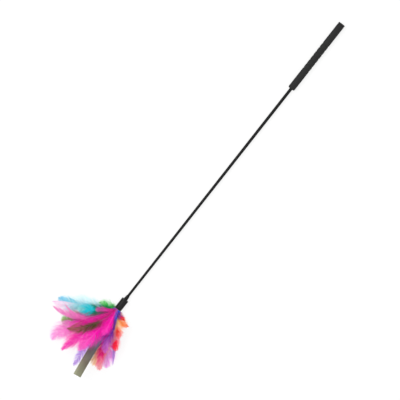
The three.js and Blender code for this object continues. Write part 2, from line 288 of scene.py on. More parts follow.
# %% Spin an outline round the wand's axis
SPIN_STEPS = 64
SOFT_EDGE = 0.12
SHARP_ANGLE = math.radians(32)


def turned(name, outline):
    """outline lists (x, radius) in millimetres, outside first and then back along the bore."""
    clear_selection()
    bpy.ops.mesh.primitive_plane_add(size=MM)
    piece = bpy.context.object
    piece.name = piece.data.name = name
    bpy.ops.object.mode_set(mode="EDIT")
    bpy.ops.mesh.merge(type="CENTER")
    bpy.ops.transform.translate(value=(outline[0][0] * MM, 0, outline[0][1] * MM))
    for (x, radius), (next_x, next_radius) in zip(outline, outline[1:]):
        step = ((next_x - x) * MM, 0, (next_radius - radius) * MM)
        bpy.ops.mesh.extrude_vertices_move(TRANSFORM_OT_translate={"value": step})
    bpy.ops.mesh.select_all(action="SELECT")
    bpy.ops.mesh.spin(steps=SPIN_STEPS, angle=math.tau, center=(0, 0, 0), axis=(1, 0, 0))
    bpy.ops.mesh.select_all(action="SELECT")
    bpy.ops.mesh.remove_doubles(threshold=0.001 * MM)
    bpy.ops.mesh.normals_make_consistent(inside=False)
    bpy.ops.object.mode_set(mode="OBJECT")
    edge = piece.modifiers.new("soft_edges", "BEVEL")
    edge.width, edge.segments, edge.limit_method = SOFT_EDGE * MM, 2, "ANGLE"
    edge.angle_limit = SHARP_ANGLE
    bpy.ops.object.modifier_apply(modifier=edge.name)
    bpy.ops.object.shade_smooth_by_angle(angle=SHARP_ANGLE)
    print(name, len(piece.data.polygons), "faces")
    return piece


# %% [markdown]
# ## Black plastic
# Moulded black plastic isn't one flat black. Its skin has a fine orange peel, it is a little duller where
# hands have rubbed it, and it carries hair scratches along its length. Rod, ferrule and grip share these
# marks. They differ in how light the black is, how rough, how deep the peel is and how much they shine.

# %% The finish of the three black plastics
RUBBED_PATCH, RUBBED_DULL = 9 * MM, 0.16
DARKEST, PALEST = 0.8, 1.35
PEEL_GRAIN, MARK_HEIGHT = 0.6 * MM, 0.03 * MM
SCRATCH_WIDTH, SCRATCH_STRETCH, SCRATCH_FROM = 0.5 * MM, 0.03, 0.6
SCRATCH_DULL, SCRATCH_HEIGHT = 0.1, 0.3


def black_plastic(name, base, roughness, peel, shine):
    finish = Finish(name, Specular_IOR_Level=shine)
    rubbed = finish.noise(RUBBED_PATCH, 4)
    scratch = finish.noise(SCRATCH_WIDTH, 1, (SCRATCH_STRETCH, 1, 1))
    grain = finish.noise(PEEL_GRAIN, 3)
    marks = finish.clamp((scratch - SCRATCH_FROM) * 4)
    finish.set("Base Color", finish.mix(rubbed, grey(base * DARKEST), grey(base * PALEST)))
    finish.set("Roughness", rubbed * RUBBED_DULL + marks * SCRATCH_DULL + roughness)
    finish.bump(grain * peel + marks * SCRATCH_HEIGHT, MARK_HEIGHT, 0.5)
    print("finish", name)
    return finish.material


rod_black = black_plastic("rod_black", base=0.005, roughness=0.42, peel=0.5, shine=0.12)
ferrule_black = black_plastic("ferrule_black", base=0.006, roughness=0.38, peel=0.8, shine=0.16)
grip_black = black_plastic("grip_black", base=0.012, roughness=0.6, peel=1.6, shine=0.2)


def wand_piece(piece, node, material):
    piece.data.materials.append(material)
    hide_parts(node)
    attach(piece, "wand")


# %% [markdown]
# ## Rod and collar
# The rod is thinnest at the feathers, so that the wand whips. The collar is the short cone that fills the
# step between the rod and the ferrule. All places along the wand are counted in millimetres from the flat
# end of the handle. Pieces that meet leave a gap of 0.3 mm, and those that slide into each other 0.15 mm.

# %% The rod
FERRULE_LENGTH, BORE_DEPTH = 17, 13
SEAT_GAP, SLIDE_GAP = 0.3, 0.15
MOUTH = -495
BACK, BORE_END = MOUTH + FERRULE_LENGTH, MOUTH + BORE_DEPTH
ROD_TIP, ROD_BUTT = BORE_END + SEAT_GAP, -8.7
ROD_TIP_RADIUS, ROD_BUTT_RADIUS = 1.75, 2.3
ROD_CHAMFER = 0.4


def rod_radius(x):
    return ROD_TIP_RADIUS + (x - ROD_TIP) / (ROD_BUTT - ROD_TIP) * (ROD_BUTT_RADIUS - ROD_TIP_RADIUS)


rod = turned("rod", [
    (ROD_TIP, 0), (ROD_TIP, ROD_TIP_RADIUS - ROD_CHAMFER), (ROD_TIP + ROD_CHAMFER, rod_radius(ROD_TIP)),
    *[(x, rod_radius(x)) for x in range(-470, -20, 50)],
    (ROD_BUTT - ROD_CHAMFER, rod_radius(ROD_BUTT)), (ROD_BUTT, ROD_BUTT_RADIUS - ROD_CHAMFER),
    (ROD_BUTT, 0),
])
wand_piece(rod, "wand_rod", rod_black)

# %% The collar
COLLAR_START, COLLAR_LENGTH = BACK + SEAT_GAP, 6
COLLAR_SPIGOT, COLLAR_RADIUS, COLLAR_TIP_RADIUS = 2.55, 2.8, 2.25

collar_end = COLLAR_START + COLLAR_LENGTH
collar_bore = rod_radius(collar_end) + SLIDE_GAP
collar = turned("collar", [
    (ROD_TIP, COLLAR_SPIGOT), (COLLAR_START, COLLAR_SPIGOT), (COLLAR_START, COLLAR_RADIUS),
    (COLLAR_START + 0.7, COLLAR_RADIUS - 0.02), (collar_end - 1.4, COLLAR_TIP_RADIUS + 0.13),
    (collar_end, COLLAR_TIP_RADIUS), (collar_end, collar_bore),
    (ROD_TIP, collar_bore), (ROD_TIP, COLLAR_SPIGOT),
])
wand_piece(collar, "neck_collar", rod_black)

# %% [markdown]
# ## The ferrule
# A plain black tube with a closed back. The mouth has a rounded lip, so that it doesn't cut the quills.
# Both outer corners have the same round, given as steps inwards from the face and from the side.

# %% The ferrule
FERRULE_RADIUS, WALL = -table_height / MM, 0.9
BORE_RADIUS = FERRULE_RADIUS - WALL
BACK_HOLE, LIP = 2.7, 0.3
CORNER = [(0, 0.35), (0.12, 0.1), (0.35, 0)]

ferrule = turned("ferrule_tube", [
    (MOUTH, BORE_RADIUS + LIP),
    *[(MOUTH + along, FERRULE_RADIUS - drop) for along, drop in CORNER],
    *[(BACK - along, FERRULE_RADIUS - drop) for along, drop in reversed(CORNER)],
    (BACK, BACK_HOLE), (BORE_END, BACK_HOLE), (BORE_END, BORE_RADIUS),
    (MOUTH + LIP, BORE_RADIUS), (MOUTH, BORE_RADIUS + LIP),
])
wand_piece(ferrule, "ferrule", ferrule_black)

# %% [markdown]
# ## The handle
# A sleeve of softer plastic over the rod, with shallow rings that the fingers find, and a cap that closes
# its end. Its rings are one cut repeated along the outline.

# %% The grip
CAP, SPIGOT, GRIP, GRIP_RADIUS = 2.4, 6, 110, 5
NOSE_LENGTH, NOSE_DROP = 2.5, 1.3
RINGS, RING_PITCH, RING_DEPTH = 7, 7, 0.38
RING_HALF, RING_FLOOR_HALF = 1, 0.55
POCKET_RADIUS, GRIP_BORE = 3.9, 2.6

grip_back = -CAP - SEAT_GAP
grip_front = grip_back - GRIP
quarter_turn = [math.radians(15 * step) for step in range(7)]
nose = [
    (grip_front + NOSE_LENGTH - NOSE_LENGTH * math.cos(turn),
     GRIP_RADIUS - NOSE_DROP + NOSE_DROP * math.sin(turn))
    for turn in quarter_turn
]
rings = []
for ring in range(RINGS):
    middle = (grip_front + grip_back) / 2 + (ring - RINGS // 2) * RING_PITCH
    rings += [(middle - RING_HALF, GRIP_RADIUS), (middle - RING_FLOOR_HALF, GRIP_RADIUS - RING_DEPTH)]
    rings += [(middle + RING_FLOOR_HALF, GRIP_RADIUS - RING_DEPTH), (middle + RING_HALF, GRIP_RADIUS)]
pocket = -CAP - SPIGOT - 2 * SEAT_GAP
grip = turned("grip", [
    *nose, *rings, (grip_back, GRIP_RADIUS), (grip_back, POCKET_RADIUS), (pocket, POCKET_RADIUS),
    (pocket, GRIP_BORE), (grip_front, GRIP_BORE), nose[0],
])
wand_piece(grip, "grip_sleeve", grip_black)

# %% The cap
SPIGOT_RADIUS = 3.6
CAP_ROUND = [(0.8, 0), (0.4, 0.11), (0.11, 0.4), (0, 0.8)]

cap = turned("handle_cap", [
    (-CAP - SPIGOT, 0), (-CAP - SPIGOT, SPIGOT_RADIUS), (-CAP, SPIGOT_RADIUS), (-CAP, GRIP_RADIUS),
    *[(-along, GRIP_RADIUS - drop) for along, drop in CAP_ROUND], (0, 0),
])
wand_piece(cap, "butt_cap", grip_black)

# %% [markdown]
# ## Inside the ferrule
# Hot-melt glue holds the quills, and thread is wound round them in front of it. Both are seen only by
# looking into the mouth. The glue is a plain moulded lump, so its solid stays and gets an amber finish with
# a wet gloss. The thread is wound anew: the Screw modifier turns a small round section about the axis and
# moves it on a little with each turn, as a winding machine does.

# %% Glue
glue = Finish("hot_melt_glue", Roughness=0.25, Specular_IOR_Level=0.5, Subsurface_Weight=0.3)
glue.set("Subsurface Radius", (1.5 * MM, 1 * MM, 0.4 * MM))
cloudy = glue.noise(1.5 * MM, 3)
glue.set("Base Color", glue.mix(cloudy, (0.62, 0.42, 0.13, 1), (0.78, 0.64, 0.36, 1)))
glue.bump(cloudy, 0.1 * MM, 0.5)
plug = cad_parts["glue_plug"]
plug.data.materials.clear()
plug.data.materials.append(glue.material)
print("glue_plug has", len(plug.data.polygons), "faces")

# %% The thread's finish
thread = Finish("binding_thread", Roughness=0.85, Sheen_Weight=0.3)
lay = thread.node("ShaderNodeTexWave", {"bands_direction": "DIAGONAL"},
                  {"Vector": thread.place(), "Scale": 1 / (0.7 * MM), "Distortion": 2.0}, out="Fac")
thread.set("Base Color", thread.mix(lay, (0.55, 0.5, 0.4, 1), (0.82, 0.78, 0.68, 1)))
thread.bump(lay, 0.05 * MM)

# %% Wind the thread
THREAD_RADIUS, THREAD_TURNS, THREAD_PITCH = 0.18, 4, 0.82
THREAD_START, THREAD_CLEAR = MOUTH + 1.2, 0.24

winding_radius = BORE_RADIUS - THREAD_CLEAR - THREAD_RADIUS
clear_selection()
bpy.ops.mesh.primitive_circle_add(
    vertices=10,
    radius=THREAD_RADIUS * MM,
    location=(THREAD_START * MM, winding_radius * MM, 0),
)
binding = bpy.context.object
binding.name = binding.data.name = "thread_winding"
bpy.ops.object.transform_apply()
winding = binding.modifiers.new("winding", "SCREW")
winding.axis = "X"
winding.screw_offset = THREAD_PITCH * MM
winding.iterations = THREAD_TURNS
winding.steps = winding.render_steps = 48
bpy.ops.object.modifier_apply(modifier=winding.name)
bpy.ops.object.mode_set(mode="EDIT")
bpy.ops.mesh.select_all(action="SELECT")
bpy.ops.mesh.fill_holes(sides=0)
bpy.ops.mesh.normals_make_consistent(inside=False)
bpy.ops.object.mode_set(mode="OBJECT")
bpy.ops.object.shade_smooth()
thread_length = THREAD_TURNS * math.hypot(math.tau * winding_radius, THREAD_PITCH)
print("thread_winding", len(binding.data.polygons), "faces", round(thread_length, 1), "mm of thread")
wand_piece(binding, "quill_binding", thread.material)

# %% [markdown]
# ## How the bunch is laid out
# The quills stand in six rows in the ferrule. Each row spreads as one layer: the further from the mouth,
# the higher the layer lies, and a layer that starts higher also climbs faster. So feathers pass over each
# other and never through. The strip of foil has the middle of the bunch to itself.

# %% How high a row starts and how it climbs
QUILL, PITCH, SLIT = 0.38, 1.04, 0.405
ROWS_BELOW = 3
EASE_IN, EASE_OUT = 6, 300


def row_height(row):
    """Middle of a row of quills: three rows under the slit that the strip is in, and three over it."""
    if row < ROWS_BELOW:
        return -(SLIT + QUILL + (ROWS_BELOW - 1 - row) * PITCH)
    return SLIT + QUILL + (row - ROWS_BELOW) * PITCH


def lift(away):
    """What a rise of 1 climbs to, this far from the mouth: slow at first, and less again at the tips."""
    started = away * away / (away + EASE_IN)
    return started - started * started / EASE_OUT


for row in range(2 * ROWS_BELOW):
    print("row", row, "stands at", round(row_height(row), 2), "mm")


# %% The line of a shaft
class Shaft:
    """The line that a shaft or the strip follows, in millimetres from the middle of the ferrule's mouth.

    It leaves its quill straight, at sideways and height, and ends at reach in the direction of fan, in
    degrees. bow moves its middle to one side."""

    STRAIGHT, BEND_AT, POINTS = 9, 0.62, 160

    def __init__(self, sideways, height, rise, reach, fan, bow):
        turn = math.radians(fan)
        tip = Vector((-math.cos(turn), math.sin(turn), 0)) * reach
        pull = tip * self.BEND_AT + Vector((math.sin(turn), math.cos(turn), 0)) * bow
        start = Vector((0, sideways, 0))
        flat = interpolate_bezier(start, start + Vector((-self.STRAIGHT, 0, 0)), pull, tip, self.POINTS)
        self.points = [
            Vector((p.x, p.y, height + rise * lift(max(0, math.hypot(p.x, p.y) - abs(sideways)))))
            for p in flat
        ]
        self.lengths = [0.0]
        for a, b in zip(flat, flat[1:]):
            self.lengths.append(self.lengths[-1] + (b - a).length)
        self.length = self.lengths[-1]
        self.index = 0

    def at(self, along):
        """The point at a distance along the shaft, the way it runs and the way to its side."""
        points, lengths = self.points, self.lengths
        index = min(self.index, len(points) - 2)
        while index > 0 and lengths[index] > along:
            index -= 1
        while index < len(points) - 2 and lengths[index + 1] < along:
            index += 1
        self.index = index
        run = points[index + 1] - points[index]
        share = (along - lengths[index]) / (lengths[index + 1] - lengths[index])
        side = Vector((run.y, -run.x, 0)).normalized()
        return points[index] + run * share, run.normalized(), side


# %% [markdown]
# ## The foil strip
# One flat strip of dull foil, cut square at its free end and gathered into small pleats where the ferrule
# pinches it. It starts as a grid that is bent along its line, and the pleats fade out as it opens to its
# full width. A last touch makes it sag a little towards its edges and wave along its length.

# %% Model the foil strip
STRIP_WIDTH, STRIP_REACH, STRIP_QUILL = 10.9, 105.4, 9
GATHERED_WIDTH, OPENS_FROM, OPENS_TO = 4.6, 2, 26
PLEAT_DEPTH, PLEATS = 0.24, 6
WAVE_HEIGHT, WAVE_RATE, EDGE_SAG = 0.35, 0.11, 0.5
FOIL_THICKNESS = 0.08
strip_line = Shaft(sideways=0, height=0, rise=0.36, reach=STRIP_REACH, fan=-6.6, bow=1.5)


def smooth(value, start, end):
    share = min(1, max(0, (value - start) / (end - start)))
    return share * share * (3 - 2 * share)


clear_selection()
bpy.ops.mesh.primitive_grid_add(x_subdivisions=140, y_subdivisions=48, size=1)
strip = bpy.context.object
strip.name = strip.data.name = "foil_ribbon"
for vertex in strip.data.vertices:
    share, across = vertex.co.x + 0.5, vertex.co.y * 2
    along = share * (strip_line.length + STRIP_QUILL) - STRIP_QUILL
    place, _, side = strip_line.at(max(0, along))
    opened = smooth(along, OPENS_FROM, OPENS_TO)
    half = (GATHERED_WIDTH + (STRIP_WIDTH - GATHERED_WIDTH) * opened) / 2
    pleat = PLEAT_DEPTH * math.cos(across * math.pi * PLEATS) * (1 - opened)
    wave = WAVE_HEIGHT * math.sin(along * WAVE_RATE) * across * opened
    wave += EDGE_SAG * across * across * opened
    place = place + side * half * across + Vector((-min(0, along), 0, pleat - wave))
    vertex.co = (place + Vector((MOUTH, 0, 0))) * MM
bpy.ops.object.shade_smooth()
thick = strip.modifiers.new("foil_thickness", "SOLIDIFY")
thick.thickness, thick.offset = FOIL_THICKNESS * MM, 0
bpy.ops.object.modifier_apply(modifier=thick.name)
print("foil_ribbon", len(strip.data.polygons), "faces", round(strip_line.length, 1), "mm long")

# %% [markdown]
# ## The foil's finish
# Dull metallised film: grey, with a painted bluish highlight towards the ferrule and olive at the free end,
# with long soft streaks from rolling, small dents from handling, and a roughness between satin and matt.

# %% Dull foil
HIGHLIGHT_AND_TINT_FROM, HIGHLIGHT_AND_TINT_LENGTH = 0.53, 0.07

foil = Finish("dull_foil", Metallic=0.75)
end = foil.node("ShaderNodeSeparateXYZ", values={0: foil.place()}, out="X")
towards_end = foil.clamp((end * -1 - HIGHLIGHT_AND_TINT_FROM) / HIGHLIGHT_AND_TINT_LENGTH)
streak = foil.noise(1.2 * MM, 3, (0.06, 1, 1))
dent = foil.noise(5 * MM, 3)
# The first stop is a painted bluish highlight near the ferrule. The later stops are the foil's own grey and
# olive.
ramp_colour = foil.node("ShaderNodeValToRGB", {"stops": [
    (0.22, colour(108, 116, 148)),
    (0.4, colour(81, 75, 82)),
    (0.7, colour(87, 79, 64)),
    (1.0, colour(125, 127, 101)),
]}, {0: towards_end})
foil.set("Base Color", foil.mix(streak * 0.3, ramp_colour, (0.28, 0.27, 0.23, 1)))
foil.set("Roughness", streak * 0.2 + 0.38)
foil.bump(dent * 0.7 + streak * 0.12, 0.35 * MM, 0.35)
strip.data.materials.append(foil.material)

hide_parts("foil_strip")
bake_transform(strip)

# %% [markdown]
# ## What a feather is made of
# A feather has a tapering shaft and a vane of several hundred barbs. Each barb leaves the shaft at a slant,
# bends towards the tip and ends in a point. Neighbouring barbs cling together in locks, and the gaps
# between locks give the ragged edge. Near the quill the barbs don't cling at all: that is the down. Hair
# particles could draw this too, but ribbons of a few faces each keep their shape, and each point can carry
# numbers for the dye.

# %% Collect ribbons into one mesh
class Strands:
    """Points and faces, with three numbers at each point for the finish to read.

    along runs from 0 at the quill to 1 at the tip, outward from 0 at the shaft to 1 at a barb's end.
    strand is a chance number of each barb, and -1 on the shaft."""

    def __init__(self):
        self.points, self.faces = [], []
        self.along, self.outward, self.strand = [], [], []

    def add(self, point, along, outward, strand):
        self.points.append(point)
        self.along.append(along)
        self.outward.append(outward)
        self.strand.append(strand)
        return len(self.points) - 1

    def ribbon(self, line, width, twist, along, strand):
        """A flat ribbon along a line, full width at its start and a point at its end."""
        last = len(line) - 1
        before = None
        for step, place in enumerate(line):
            share = step / last
            way = line[min(step + 1, last)] - line[max(step - 1, 0)]
            flat = way.cross(Vector((0, 0, 1))).normalized()
            turned_flat = flat * math.cos(twist) + flat.cross(way.normalized()) * math.sin(twist)
            half = turned_flat * width * (1 - share ** 1.5) * 0.5
            if step == last:
                tip = self.add(place, along, 1, strand)
                self.faces.append((before[0], before[1], tip))
                return
            left = self.add(place - half, along, share, strand)
            right = self.add(place + half, along, share, strand)
            if before:
                self.faces.append((before[0], before[1], right, left))
            before = (left, right)

    def tube(self, places, radii, sides=6):
        """The shaft: a tapering tube with closed ends."""
        last = len(places) - 1
        rings = []
        for step, (place, radius) in enumerate(zip(places, radii)):
            way = places[min(step + 1, last)] - places[max(step - 1, 0)]
            flat = way.cross(Vector((0, 0, 1))).normalized()
            up = flat.cross(way.normalized())
            ring = []
            for side in range(sides):
                turn = math.tau * side / sides
                point = place + flat * radius * math.cos(turn) + up * radius * math.sin(turn)
                ring.append(self.add(point, step / last, 0, -1))
            rings.append(ring)
        for one, two in zip(rings, rings[1:]):
            for side in range(sides):
                after = (side + 1) % sides
                self.faces.append((one[side], one[after], two[after], two[side]))
        self.faces.append(tuple(reversed(rings[0])))
        self.faces.append(tuple(rings[-1]))

    def piece(self, name):
        mesh = bpy.data.meshes.new(name)
        mesh.from_pydata([(p + Vector((MOUTH, 0, 0))) * MM for p in self.points], [], self.faces)
        for field in ("along", "outward", "strand"):
            values = mesh.attributes.new(field, "FLOAT", "POINT")
            values.data.foreach_set("value", getattr(self, field))
        mesh.shade_smooth()
        piece = bpy.data.objects.new(name, mesh)
        bpy.context.collection.objects.link(piece)
        return piece


# %% [markdown]
# ## Growing one feather
# The vane is widest where its kind of feather is widest: that is a curve with one peak, which rises from
# the quill and falls to a round or a pointed tip. A lock takes 6 to 20 barbs. All the barbs of a lock lean
# towards its middle one, and each lock lies a little higher or lower than the next. What every feather has
# unless its own row in the table below says otherwise is listed first.

# %% An ordinary feather
ORDINARY = {
    "opening": 0.8,  # how the vane widens: the more, the nearer to the tip is its widest place
    "sides": (1, 1),  # width of the side towards -Y and of the other one, as shares of half
    "root": 4,  # least length of the barbs at the quill, in millimetres
    "bare": 0.3,  # where the first barb stands, in millimetres from the mouth
    "gap": 0.17,  # millimetres from one barb to the next
    "loose": 0.5,  # how much the locks part, lean together and lie unevenly
    "down": 160,  # how many barbs of down there are at the quill
    "back": 0.5,  # how far the down may lean back towards the ferrule, in millimetres
    "pale": 0.7,  # how much the barbs fade to the colour of their ends
    # The next value is how strong the painted shade is on the barbs that lie under the others.
    "painted_shade": 0.7,  # how much darker than the rest some barbs are
    "bars": 0.0,  # how strong the dark cross bars are
    "turns": (0.0, 0.3, 0.55, 1.0),  # root colour to the 1st, body from 2nd to 3rd, ends from 4th
}

# %% The outline of a vane and the line of a barb
BARB_STEPS = 5
FLOOR = table_height / MM
TABLE_GAP, MOUTH_GAP, BESIDE_FERRULE = 0.15, 0.3, 4
BARB_CURL, BARB_DROOP = 0.5, 0.1
BARB_FORWARDS, BARB_OUTWARDS = 1.25, 1.5


def vane_share(share, tip, opening):
    """How wide the vane is at a share of its length: 1 at its widest, 0 at both ends."""
    if share <= 0 or share >= 1:
        return 0
    peak = opening / (opening + tip)
    return (share ** opening * (1 - share) ** tip) / (peak ** opening * (1 - peak) ** tip)


def kept_clear(point):
    """The point moved out of the table and out of the ferrule's mouth."""
    beside_ferrule = math.hypot(point.y, point.z) > FERRULE_RADIUS + 0.5
    furthest_back = BESIDE_FERRULE if beside_ferrule else -MOUTH_GAP
    return Vector((min(point.x, furthest_back), point.y, max(point.z, FLOOR + TABLE_GAP)))


def barb(shaft, chance, start, ahead, out, roll, rise):
    """The line of one barb: out to one side, or to the other where out is below 0, and forwards."""
    line = []
    curl = chance.uniform(-BARB_CURL, BARB_CURL)
    for step in range(BARB_STEPS + 1):
        share = step / BARB_STEPS
        place, _, side = shaft.at(start + ahead * share ** BARB_FORWARDS)
        width = out * (1 - (1 - share) ** BARB_OUTWARDS)
        height = math.tan(roll) * width - BARB_DROOP * abs(width) * abs(width) / max(4, abs(out))
        height += rise * share * share + curl * math.sin(share * 5)
        point = place + side * width + Vector((0, 0, height))
        line.append(kept_clear(point))
    return line


# %% The locks of one side
LOCK_BARBS = (6, 20)
LOCK_REACH, LOCK_SWEEP = (0.7, 1.15), (0.85, 1.2)
BARB_REACH, BARB_WIDTH, BARB_TWIST = (0.66, 1.12), (0.24, 0.4), (-0.8, 0.8)
SWEEP, LEAST_AHEAD, MOST_AHEAD, AHEAD_SPREAD = 1.15, 1.2, 0.72, (0.85, 1.15)
LEAN, MISSING, LAST_LOCK = 0.8, 0.06, 0.985


def vane_side(strands, shaft, chance, spec, sign):
    reach, tip, opening, loose = shaft.length, spec["tip"], spec["opening"], spec["loose"]
    half = spec["half"] * spec["sides"][sign > 0]
    root = spec["root"] * spec["sides"][sign > 0]
    start = spec["bare"]
    while start < reach * LAST_LOCK:
        count = chance.randint(*LOCK_BARBS)
        lock_middle = start + count * spec["gap"] / 2
        lock_reach = chance.uniform(*LOCK_REACH)
        lock_rise = chance.uniform(-1, 1) * (0.9 + loose)
        lock_sweep = chance.uniform(*LOCK_SWEEP)
        lock_shade = chance.random()
        for _ in range(count):
            share = start / reach
            # How far forwards the barb ends: further where the vane is wide, and drawn to the lock's
            # middle. It stays short at the quill and never passes the tip.
            open_half = half * max(vane_share(share * 0.85 + 0.12, tip, opening), 0.1)
            ahead = open_half * SWEEP * lock_sweep + LEAST_AHEAD
            ahead += (lock_middle - start) * loose * LEAN
            ahead *= min(1, 0.25 + start / 14)
            ahead = min(ahead, (reach - start) * MOST_AHEAD) * chance.uniform(*AHEAD_SPREAD)
            # How far out it ends: to the outline of the vane, or at the quill to the length of the root.
            out = half * vane_share((start + ahead) / reach, tip, opening)
            out = max(out, root * (1 - share * 5))
            out *= sign * lock_reach * chance.uniform(*BARB_REACH)
            # A few are missing. This one's place stays free for the next.
            if chance.random() < MISSING * loose:
                continue
            rise = lock_rise * min(1, abs(out) / 5)
            line = barb(shaft, chance, start, ahead, out, spec["roll"], rise)
            # A low number gives the barb painted shade in the dye, a high one a paler dye.
            shade = 0.6 * lock_shade + 0.4 * chance.random()
            width = chance.uniform(*BARB_WIDTH) * (0.55 + 0.45 * min(1, abs(out) / spec["half"]))
            strands.ribbon(line, width, chance.uniform(*BARB_TWIST), share, shade)
            start += spec["gap"] * chance.uniform(0.7, 1.3)
        start += spec["gap"] * loose


# %% Loose barbs and down
HAZE_PER_MM, HAZE_WIDTH = 5, 0.15
HAZE_FROM, HAZE_TO, HAZE_REACH, HAZE_RISE = 0.08, 0.97, (0.9, 1.35), (-1.6, 2.4)
DOWN_TO, DOWN_WIDTH, DOWN_REACH, DOWN_RISE = 0.3, 0.22, (0.5, 1.2), (-3, 3.5)
DOWN_AHEAD, DOWN_SWAY = 7, 0.5


def haze(strands, shaft, chance, spec):
    """Single fine barbs that stand out past the edge of the vane."""
    reach = shaft.length
    for _ in range(int(reach * HAZE_PER_MM)):
        start = reach * chance.uniform(HAZE_FROM, HAZE_TO)
        ahead = min(spec["half"] * chance.uniform(0.7, 1.5), (reach - start) * 0.9 + 1)
        sign = chance.choice((-1, 1))
        half = spec["half"] * spec["sides"][sign > 0]
        edge = half * (0.08 + vane_share((start + ahead) / reach, spec["tip"], spec["opening"]))
        out = sign * edge * chance.uniform(*HAZE_REACH)
        line = barb(shaft, chance, start, ahead, out, spec["roll"], chance.uniform(*HAZE_RISE))
        strands.ribbon(line, HAZE_WIDTH, chance.uniform(-1, 1), start / reach, chance.random())


def down(strands, shaft, chance, spec):
    """Soft wavy barbs round the first third of the shaft."""
    reach = shaft.length
    for _ in range(spec["down"]):
        start = reach * chance.uniform(0, DOWN_TO) + 0.4
        sign = chance.choice((-1, 1))
        widest = (spec["half"] * 0.5 + 2.5) * spec["sides"][sign > 0]
        out = sign * widest * chance.uniform(*DOWN_REACH)
        ahead = chance.uniform(-spec["back"], DOWN_AHEAD)
        line = barb(shaft, chance, start, ahead, out, spec["roll"], chance.uniform(*DOWN_RISE))
        wave = chance.uniform(0, math.tau)
        for step, point in enumerate(line):
            turn = wave + step * 1.8
            sway = Vector((math.sin(turn), math.cos(turn), 0.6 * math.sin(wave + step)))
            line[step] = kept_clear(point + sway * DOWN_SWAY * step / BARB_STEPS)
        strands.ribbon(line, DOWN_WIDTH, chance.uniform(-1, 1), start / reach, chance.random())


# %% Put a feather together
SHAFT_STEPS = 36
SHAFT_RADIUS, SHAFT_TIP_RADIUS, SHAFT_TAPER = 0.34, 0.07, 0.85


def grow(name, shaft, spec, seed):
    """The quill reaches back into the ferrule, as far as the strip does."""
    chance = random.Random(seed)
    strands = Strands()
    places = [Vector((STRIP_QUILL, shaft.points[0].y, shaft.points[0].z))]
    radii = [QUILL - 0.03]
    for step in range(SHAFT_STEPS + 1):
        places.append(shaft.at(shaft.length * step / SHAFT_STEPS)[0])
        radii.append(max(SHAFT_TIP_RADIUS, SHAFT_RADIUS * (1 - SHAFT_TAPER * step / SHAFT_STEPS)))
    strands.tube(places, radii)
    for sign in (-1, 1):
        vane_side(strands, shaft, chance, spec, sign)
    haze(strands, shaft, chance, spec)
    down(strands, shaft, chance, spec)
    piece = strands.piece(name)
    print(name, len(strands.faces), "faces")
    return piece


# %% [markdown]
# ## Dye
# Dyed feathers are deepest in colour along the shaft and near the quill. Barbs thin out towards their ends,
# let light through and look almost white there. No two locks took the dye alike, and the shaft stays paler
# than the vane. Some natural feathers keep dark bars under the dye. So the finish starts with a colour ramp
# along the feather, fades it outwards, darkens it with painted shade between the barbs, and lets a fifth of
# the light through.

# %% Feather dye
LIGHT_THROUGH = 0.2
BAR_BROWN = colour(38, 34, 16)


def dye(name, dyes, pale, painted_shade, bars, turns):
    """dyes are the colours of root, body and tip. The rest is explained at the ordinary feather."""
    root, body, tip = (colour(*parts) for parts in dyes)
    finish = Finish(name, Specular_IOR_Level=0.12, Sheen_Weight=0.08, Sheen_Roughness=0.4)
    along, outward, strand = (finish.value(field) for field in ("along", "outward", "strand"))
    stops = list(zip(turns, (root, body, body, tip)))
    vane = finish.node("ShaderNodeValToRGB", {"stops": stops}, {0: along})
    # Barbs fade outwards, and the more so the nearer they are to the feather's tip.
    fade = finish.clamp(outward ** 1.7 * (along * 0.6 + 0.4) * pale)
    vane = finish.mix(fade, vane, tip)
    # Barbs with a high chance number took less dye; those with a low one get painted shade, as if under
    # others.
    uneven = finish.noise(1.4 * MM, 2)
    paler = finish.clamp(strand * 2.5 - 1.5) * (outward * 0.5 + 0.15)
    vane = finish.mix(paler * pale, vane, tip)
    shade = finish.clamp(1.1 - strand * 2.2) * painted_shade + uneven * 0.1
    # Painted shade: those barbs are darkened towards a dim copy of the body colour.
    between = (*[0.47 + 0.2 * value for value in body[:3]], 1)
    vane = finish.mix(shade, vane, finish.mix(1.0, vane, between, "MULTIPLY"))
    if bars:
        wave = finish.node("ShaderNodeMath", {"operation": "SINE"}, {0: along * 60 + outward * 7})
        stripe = finish.clamp(wave * 2 + 0.2) * finish.clamp(along * 6 - 2.2)
        vane = finish.mix(stripe * bars, vane, BAR_BROWN)
    # The shaft is halfway to a pale colour of its own.
    is_shaft = finish.clamp(strand * -1)
    shaft_colour = (*[0.4 * value + 0.3 for value in body[:3]], 1)
    finish.set("Base Color", finish.mix(is_shaft * 0.5, vane, shaft_colour))
    finish.set("Roughness", uneven * 0.2 + 0.5)
    finish.bump(uneven, 0.05 * MM, 0.3)
    finish.blend_shader(LIGHT_THROUGH, "ShaderNodeBsdfTranslucent", {"Color": body})
    return finish.material
